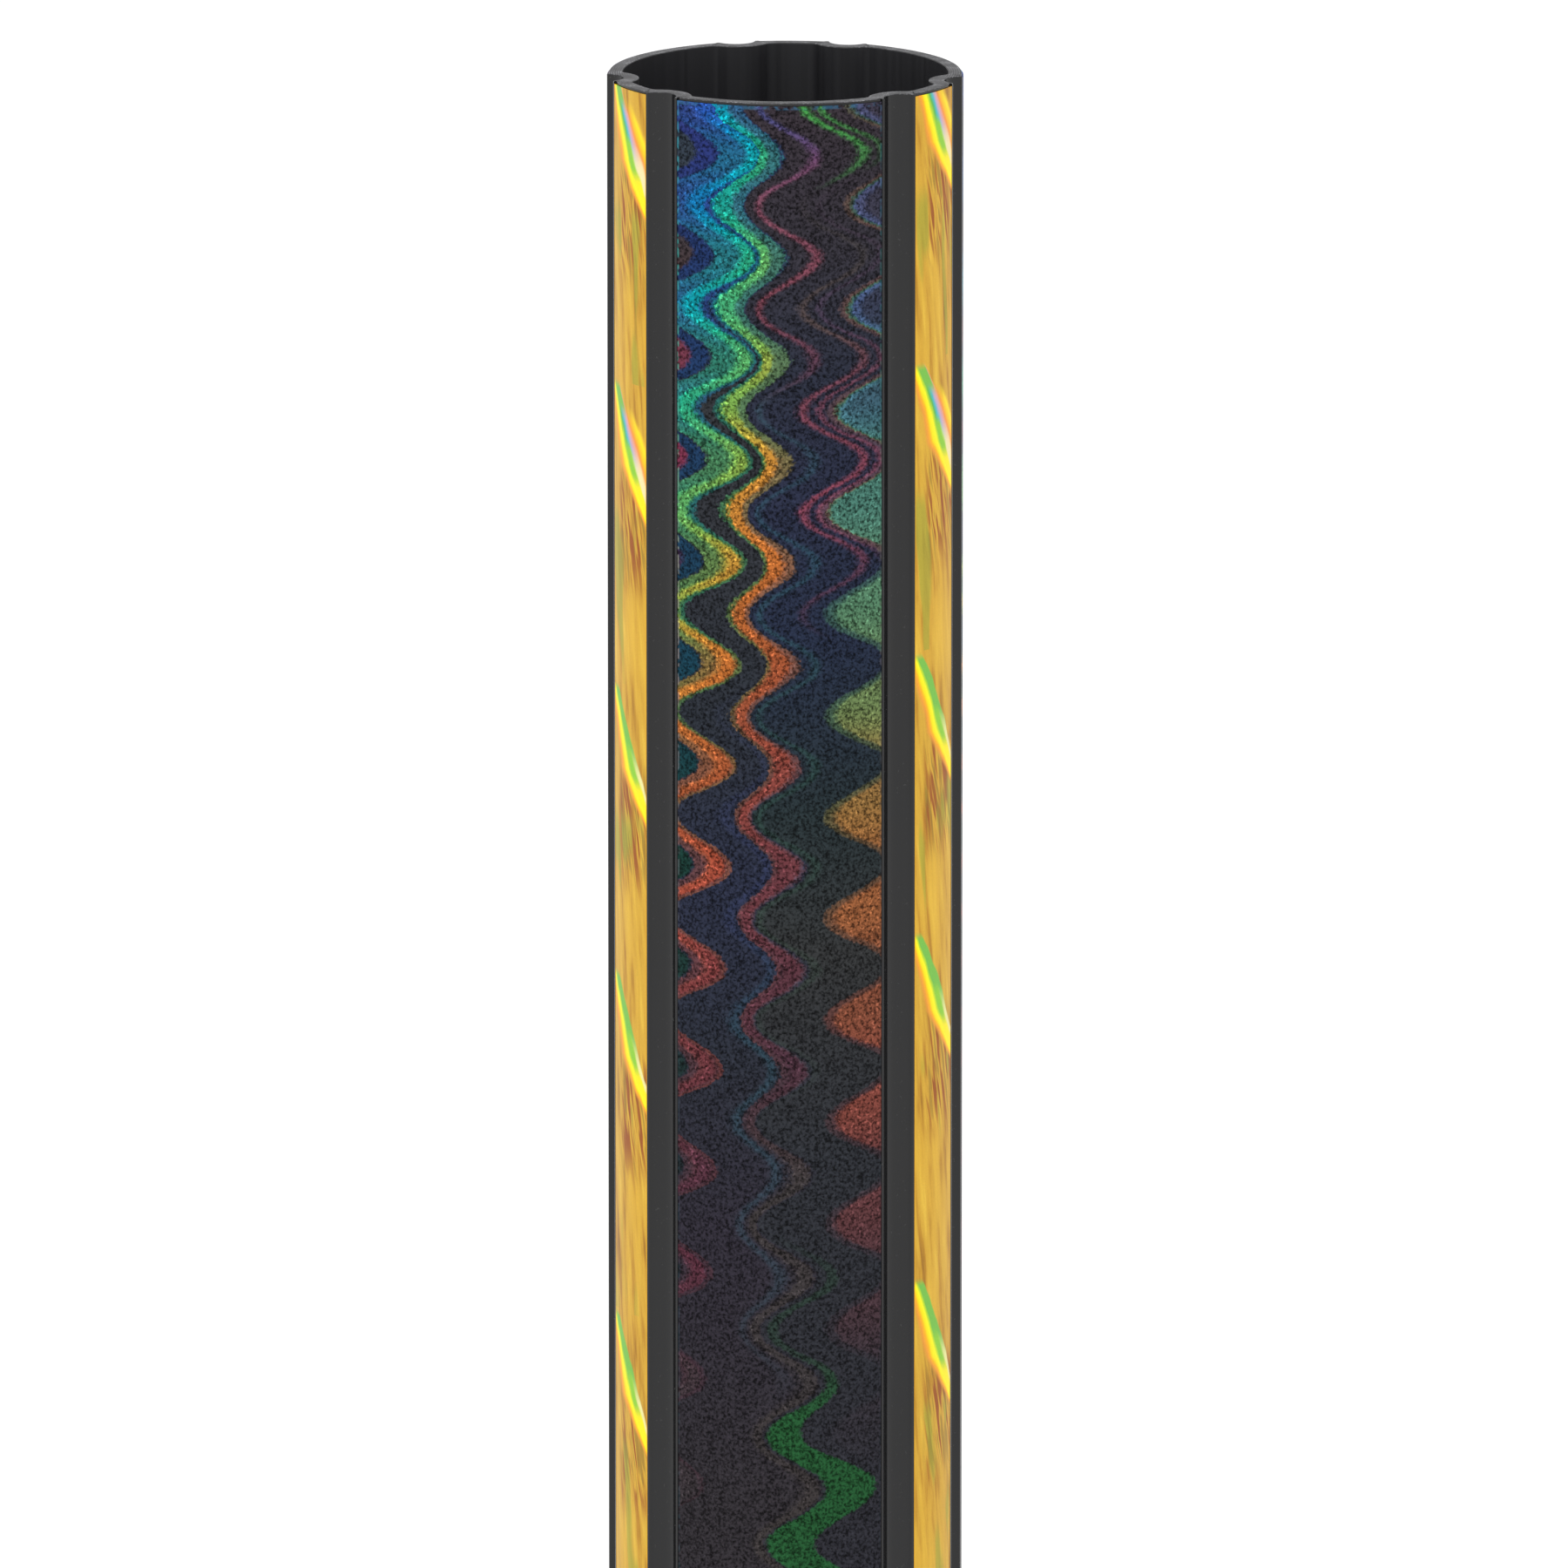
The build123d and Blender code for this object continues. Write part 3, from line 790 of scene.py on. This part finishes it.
def stand_in(bm, name, body, node, material, crease=35.0):
    """Makes bm a piece, smooth but for creases, that rides on body in place of a CAD node."""
    bmesh.ops.remove_doubles(bm, verts=bm.verts, dist=MERGE * MM)
    bmesh.ops.recalc_face_normals(bm, faces=bm.faces)
    for face in bm.faces:
        face.smooth = True
    for edge in bm.edges:
        edge.smooth = len(edge.link_faces) == 2 and edge.calc_face_angle() < math.radians(crease)
    mesh = bpy.data.meshes.new(name)
    bm.to_mesh(mesh)
    bm.free()
    mesh.materials.append(material)
    made = bpy.data.objects.new(name, mesh)
    bpy.context.scene.collection.objects.link(made)
    made.modifiers.new("weighted_normals", "WEIGHTED_NORMAL").keep_sharp = True
    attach(made, body)
    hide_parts(node)
    return made


def piece(name, loops, closed, body, node, material, crease=35.0):
    """Lofts a piece that rides on body in place of a CAD node."""
    bm = bmesh.new()
    loft(bm, loops, closed)
    bmesh.ops.scale(bm, vec=(MM, MM, MM), verts=bm.verts)
    return stand_in(bm, name, body, node, material, crease)


# ---------------------------------------------------------------- tube and foils
RIM_ROUND = 0.14
low, high = heights("body_tube")
wall_corners = ((0, low), (0, high), (TUBE_WALL, high), (TUBE_WALL, low))
wall = rounded([(inset, height, RIM_ROUND) for inset, height in wall_corners])
loops = []
for inset, height in wall:
    outside = inset < TUBE_WALL / 2
    corner = LIP_RADIUS if outside else BORE_CORNER
    loops.append(at_height(section(inset, corner, POCKET_RADIUS - inset if outside else None), height))
tube = piece("fluted_tube", loops, True, "tube", "body_tube", TUBE)
tube.data.materials.append(CUT)
tube.data.materials.append(PAINTED_LIGHT_BORE)
for face in tube.data.polygons:
    if abs(face.normal.z) > 0.5:
        face.material_index = 1
    elif face.normal.xy.dot(face.center.xy.normalized()) < -0.2:
        face.material_index = 2

FOIL_EDGE = 0.05


def foil(name, middle, half, steps, material):
    """A thin foil strip bent to the tube, with softened edges."""
    profile = soft_box(FOIL_INNER, FOIL_OUTER, *heights(name), FOIL_EDGE)
    width = 2 * (half - FOIL_SIDE_GAP)
    loops = turned(profile, middle - width / 2, width, steps)
    piece(name + "_strip", loops, False, "tube", name, material)


# The colour of each wave foil's painted edge highlight: a teal glint on the front, and pale grey and pale
# pink slivers on the rear foils, where they form the tube's right and left outline.
FOIL_EDGE_GLINTS = {"front": "5090a0", "rear_right": "c8c8d0", "rear_left": "e0a8a8"}
for side, middle in PANELS.items():
    look = WaveFoil("wave_foil_" + side, middle, FOIL_EDGE_GLINTS[side])
    foil("wave_film_" + side, middle, WIDE_HALF, 48, look.material)
for side, middle in GOLD_STRIPS.items():
    look = GoldFoil("gold_foil_" + side, middle, COMETS[side])
    foil("gold_film_" + side, middle, NARROW_HALF, 20, look.material)

# ---------------------------------------------------------------- eyepiece plate and end collar
EYEPIECE_EDGE = 0.25
COLLAR_BORE = 18.9
COLLAR_SEAT = 21.0
COLLAR_BODY = 24.0
TUBE_FOOT = 35.0
SPIGOT_EDGE = 0.6
keyed = section(TUBE_WALL + KEY_GAP, BORE_CORNER)
keyed_inner = section(TUBE_WALL + KEY_GAP + EYEPIECE_EDGE, BORE_CORNER)
low, high = heights("eyepiece_plate")
DISH = rounded((
    (17.0, high, 0.8), (13.2, high - 1.457, 0.15), (13.0, high - 1.75, 0.1), (12.5, high - 1.95, 0.15),
    (5.0, high - 4.6, 0.5), (5.0, low + 3.28, 0.15), (14.0, low + 3.28, 0), (14.0, low, 0.2), (18.0, low, 0),
    (18.0, high, 0),
))
dish = [p for p in DISH if p.x < 17.9]
loops = [at_height(keyed_inner, low), at_height(keyed, low + EYEPIECE_EDGE)]
loops += [at_height(keyed, high - EYEPIECE_EDGE), at_height(keyed_inner, high)]
loops += [at_height(circle_beside(keyed, p.x), p.y) for p in dish]
piece("eyepiece", loops, True, "tube", "eyepiece_plate", INNER)

low, high = heights("end_collar")
FLANGE = rounded((
    (COLLAR_BORE, low, 0), (COLLAR_SEAT, low, 0), (23.5, low, 0.2), (COLLAR_BODY, low + 0.5, 0.2),
    (COLLAR_BODY, low + 0.95, 0), (22.7, low + 0.95, 0), (22.7, low + 2.25, 0), (COLLAR_BODY, low + 2.25, 0),
    (COLLAR_BODY, 32.6, 0), (27.0, 32.6, 0.15), (27.0, 34.2, 0.25), (26.2, TUBE_FOOT, 0.25),
    (COLLAR_BORE, TUBE_FOOT, 0),
))
flange = [p for p in FLANGE if p.x > COLLAR_SEAT + 0.1]
spigot_tip = section(TUBE_WALL + KEY_GAP + SPIGOT_EDGE, BORE_CORNER)
SEAT_TOP = low + 1.8
inside = ((COLLAR_BORE, high), (COLLAR_BORE, SEAT_TOP), (COLLAR_SEAT, SEAT_TOP), (COLLAR_SEAT, low))
loops = [at_height(circle_beside(keyed, radius), height) for radius, height in inside]
loops += [at_height(circle_beside(keyed, p.x), p.y) for p in flange]
loops += [at_height(keyed, TUBE_FOOT), at_height(keyed, high - SPIGOT_EDGE), at_height(spigot_tip, high)]
piece("collar", loops, True, "tube", "end_collar", COLLAR)

# ---------------------------------------------------------------- turning ring, grip band and cell discs
RING_RADIUS = 29.0
CELL_BORE = 26.5
low, high = heights("turning_ring")
RING_PROFILE = rounded((
    (CELL_BORE, low, 0.2), (28.2, low, 0.3), (RING_RADIUS, low + 0.8, 0.3), (RING_RADIUS, 5.0, 0.2),
    (28.0, 5.0, 0), (28.0, 27.0, 0), (RING_RADIUS, 27.0, 0.2), (RING_RADIUS, 28.2, 0.1), (28.7, 28.5, 0.1),
    (28.7, 28.8, 0.1), (RING_RADIUS, 29.1, 0.1), (RING_RADIUS, high - 2.0, 0.6), (27.0, high, 0.6),
    (24.06, high, 0.2), (24.06, 21.4, 0), (25.7, 21.4, 0), (25.7, 18.0, 0), (CELL_BORE, 18.0, 0),
    (CELL_BORE, 3.1, 0), (27.3, 3.1, 0), (27.3, 1.55, 0), (CELL_BORE, 1.55, 0),
))
piece("turning_grip", turned(RING_PROFILE, steps=192), True, "cell", "turning_ring", RING)

RIB_COUNT = 48
RIB_RADIUS = 1.0
RIB_CENTRE = 28.4
BAND_RADIUS = 28.8
BAND_SEAT = 28.02
BAND_EDGE = 0.25
RIB_START = 0.5
RUN_OUT = 1.4
# The points across a rib, in degrees from its middle.
RIB_ANGLES = (-3.4, -2.6, -2.1, -1.85, -1.7, -1.4, -1.0, -0.5, 0.0, 0.5, 1.0, 1.4, 1.7, 1.85, 2.1, 2.6, 3.4)


def rib_height(degrees):
    """How far a rib stands above the band, at an angle from the rib's middle."""
    turn = math.radians(degrees)
    chord = RIB_RADIUS**2 - (RIB_CENTRE * math.sin(turn)) ** 2
    if chord <= 0:
        return 0.0
    return max(0.0, RIB_CENTRE * math.cos(turn) + math.sqrt(chord) - BAND_RADIUS)


rib_points = [
    (polar(1.0, rib * FULL_TURN / RIB_COUNT + angle), rib_height(angle))
    for rib in range(RIB_COUNT)
    for angle in RIB_ANGLES
]


def band_loop(radius, height, share=0.0):
    """A loop round the band, where the ribs stand up by a share of their full height."""
    return at_height([way * (radius + rise * share) for way, rise in rib_points], height)


low, high = heights("grip_band")
run_out = [math.radians(angle) for angle in spread(0, 90, 6)]
steps_up = [(low + RIB_START + RUN_OUT * (1 - math.cos(angle)), math.sin(angle)) for angle in run_out]
steps_up += [(high - (height - low), share) for height, share in reversed(steps_up)]
loops = [band_loop(BAND_SEAT, low), band_loop(BAND_RADIUS - BAND_EDGE, low)]
loops += [band_loop(BAND_RADIUS, height, share) for height, share in steps_up]
loops += [band_loop(BAND_RADIUS - BAND_EDGE, high), band_loop(BAND_SEAT, high)]
piece("ribbed_band", loops, True, "cell", "grip_band", grip_rubber(), 50.0)

DISC_RADIUS = 26.42
DISC_EDGE = 0.25
for node, material in (
    ("cell_window", clear_plate("clear_acrylic", "f4f8f8", 0.03, 0.0, 1.49)),
    ("cell_diffuser", clear_plate("frosted_acrylic", "f0f2f4", 0.42, 1.0, 1.49)),
):
    low, high = heights(node)
    rim = ((DISC_RADIUS, low, DISC_EDGE), (DISC_RADIUS, high, DISC_EDGE))
    profile = rounded(((0, low, 0), *rim, (0, high, 0)))
    piece(node + "_disc", turned(profile), True, "cell", node, material)

LOCK_GAP = 8
profile = soft_box(24.6, 27.25, *heights("cell_lock_ring"), 0.2)
split_ring = turned(profile, LOCK_GAP / 2 - 90, FULL_TURN - LOCK_GAP, 132)
piece("lock_ring", split_ring, False, "cell", "cell_lock_ring", INNER)

# ---------------------------------------------------------------- finishes of the CAD nodes that stay
CLEAR_GLASS = clear_plate("clear_glass", "eef6f2", 0.02, 0.0, 1.52)
MIRROR = silvered("mirror")
FOAM = open_foam()
STAYING = {
    "mirror_base": MIRROR,
    "mirror_right": MIRROR,
    "mirror_left": MIRROR,
    "mirror_wrap": wrap_film(),
    "cradle_lower": FOAM,
    "cradle_middle": FOAM,
    "cradle_upper": FOAM,
    "mirror_gasket": FOAM,
    "eye_lens": clear_plate("lens_acrylic", "f6fafa", 0.02, 0.0, 1.49),
    "lens_retainer": INNER,
    "mirror_end_glass": CLEAR_GLASS,
    "cell_clip": spring_steel(),
    "friction_washer": pressed_felt(),
    "cell_spacer": INNER,
}
for node, material in STAYING.items():
    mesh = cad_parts[node].data
    mesh.materials.clear()
    mesh.materials.append(material)

# ---------------------------------------------------------------- loose pieces
# Copies of the CAD meshes with their seams merged: each bead, chip, rod or ring is one island.
# For each node: the finish's name and colours, its roughness, refractive index and clearness.
LOOSE_PIECES = {
    "tumbling_beads": ("bead_glass", ("c02038", "e07818", "1848b0", "18884c"), 0.03, 1.52, 0.85),
    "tumbling_chips": ("chip_acrylic", ("e8b018", "b01c60", "1890b8", "68a820"), 0.06, 1.49, 0.8),
    "tumbling_rods": ("rod_glass", ("e0e4f0", "7830a8", "d84018", "1870c0"), 0.04, 1.52, 0.8),
    "tumbling_rings": ("ring_acrylic", ("e85090", "20a890", "f0d030", "5038b0"), 0.08, 1.49, 0.7),
}
for node, look in LOOSE_PIECES.items():
    loose_bm = bmesh.new()
    loose_bm.from_mesh(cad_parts[node].data)
    stand_in(loose_bm, node + "_loose", "loose_pieces", node, coloured_pieces(*look))

# ---------------------------------------------------------------- floor and light
FLOOR_RADIUS = 6.0
FLOOR_DROP = 0.0002
floor_mesh = bpy.data.meshes.new("floor")
floor_bm = bmesh.new()
bmesh.ops.create_circle(floor_bm, cap_ends=True, segments=96, radius=FLOOR_RADIUS)
floor_bm.to_mesh(floor_mesh)
floor_bm.free()
floor = bpy.data.objects.new("floor", floor_mesh)
floor.location.z = -FLOOR_DROP
floor.visible_glossy = False
bpy.context.scene.collection.objects.link(floor)
floor_graph = Graph("floor_paper")
floor_graph.surface(Base_Color="fafafa", Roughness=0.9, Specular_IOR_Level=0.1)
floor_mesh.materials.append(floor_graph.material)

world = bpy.data.worlds.new("studio")
world.use_nodes = True
world.node_tree.nodes["Background"].inputs["Color"].default_value = (1, 1, 1, 1)
world.node_tree.nodes["Background"].inputs["Strength"].default_value = 1.0
bpy.context.scene.world = world


def softbox(name, place, aim, width, height, power):
    """A rectangular area light that faces a point."""
    light = bpy.data.objects.new(name, bpy.data.lights.new(name, "AREA"))
    light.data.shape = "RECTANGLE"
    light.data.size = width
    light.data.size_y = height
    light.data.energy = power
    light.location = place
    light.rotation_euler = (Vector(aim) - light.location).to_track_quat("-Z", "Y").to_euler()
    bpy.context.scene.collection.objects.link(light)


softbox("key", (-0.6, -2.3, 1.5), (0, 0, 0.13), 1.0, 1.6, 14)
softbox("top", (0.2, 0.3, 2.2), (0, 0, 0.1), 1.6, 1.6, 10)
